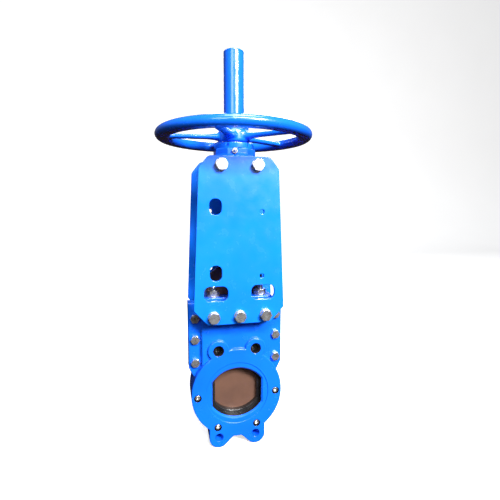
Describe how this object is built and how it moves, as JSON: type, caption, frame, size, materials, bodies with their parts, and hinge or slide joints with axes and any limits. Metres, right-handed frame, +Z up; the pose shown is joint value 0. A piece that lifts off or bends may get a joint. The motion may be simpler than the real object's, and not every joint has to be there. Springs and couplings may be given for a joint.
{
  "type": "knife gate valve",
  "caption": "Wafer knife gate valve with a cast two-part body, tapered yoke plates, rising stem in a protector tube and a spoked handwheel.",
  "frame": {"origin": "on the bore axis, midway between the two flange faces", "axes": "+Z up along the stem towards the handwheel, +Y along the pipe towards the rear flange face, +X to the right seen from the front"},
  "size_m": [0.2448, 0.2448, 0.6344],
  "materials": {
    "blue_paint": "gloss enamel",
    "zinc_plate": "bright zinc plate",
    "stainless": "ground stainless",
    "stem_steel": "machined, greased",
    "bearing_steel": "ground",
    "bronze": "machined bronze",
    "black_rubber": "moulded",
    "gasket_sheet": "fibre sheet",
    "guide_plastic": "machined nylon",
    "packing_braid": "lubricated square braid"
  },
  "bodies": {
    "frame": {"bearing_cover": "blue_paint", "bearing_housing": "blue_paint", "body_front_half": "blue_paint", "body_gasket": "gasket_sheet", "body_rear_half": "blue_paint", "flange_screws": "zinc_plate", "foot_bolts": "zinc_plate", "foot_washers": "zinc_plate", "gate_edge_seal": "black_rubber", "gate_guide_left": "guide_plastic", "gate_guide_right": "guide_plastic", "gland_follower": "blue_paint", "gland_nuts": "zinc_plate", "gland_studs": "zinc_plate", "gland_washers": "zinc_plate", "grease_nipple": "zinc_plate", "head_bolts": "zinc_plate", "head_washers": "zinc_plate", "lower_bearing_balls": "bearing_steel", "lower_bearing_housing_race": "bearing_steel", "packing_ring_lower": "packing_braid", "packing_ring_middle": "packing_braid", "packing_ring_upper": "packing_braid", "seat_liner_front": "black_rubber", "seat_liner_rear": "black_rubber", "side_bolts": "zinc_plate", "side_nuts": "zinc_plate", "upper_bearing_balls": "bearing_steel", "upper_bearing_housing_race": "bearing_steel", "yoke_plate_front": "blue_paint", "yoke_plate_rear": "blue_paint"},
    "wheel": {"stem_nut": "bronze", "handwheel": "blue_paint", "wheel_key": "stem_steel", "wheel_nut": "blue_paint", "protector_tube": "blue_paint", "protector_cap": "blue_paint", "lower_bearing_shaft_race": "bearing_steel", "upper_bearing_shaft_race": "bearing_steel"},
    "gate_stem": {"gate": "stainless", "stem": "stem_steel", "stem_clevis": "stem_steel", "clevis_bolts": "zinc_plate", "clevis_nuts": "zinc_plate", "stem_lock_nut": "zinc_plate"}
  },
  "joints": [
    {"name": "handwheel_spin", "type": "hinge", "parent": "frame", "child": "wheel", "pos_m": [0, 0, 0.4138], "axis": [0, 0, 1], "range_deg": [0, 8280]},
    {"name": "gate_travel", "type": "slide", "parent": "frame", "child": "gate_stem", "axis": [0, 0, 1], "range_m": [0, 0.092]}
  ],
  "couplings": [
    {"joint": "gate_travel", "follows": "handwheel_spin", "m_per_rad": 0.00063662}
  ]
}
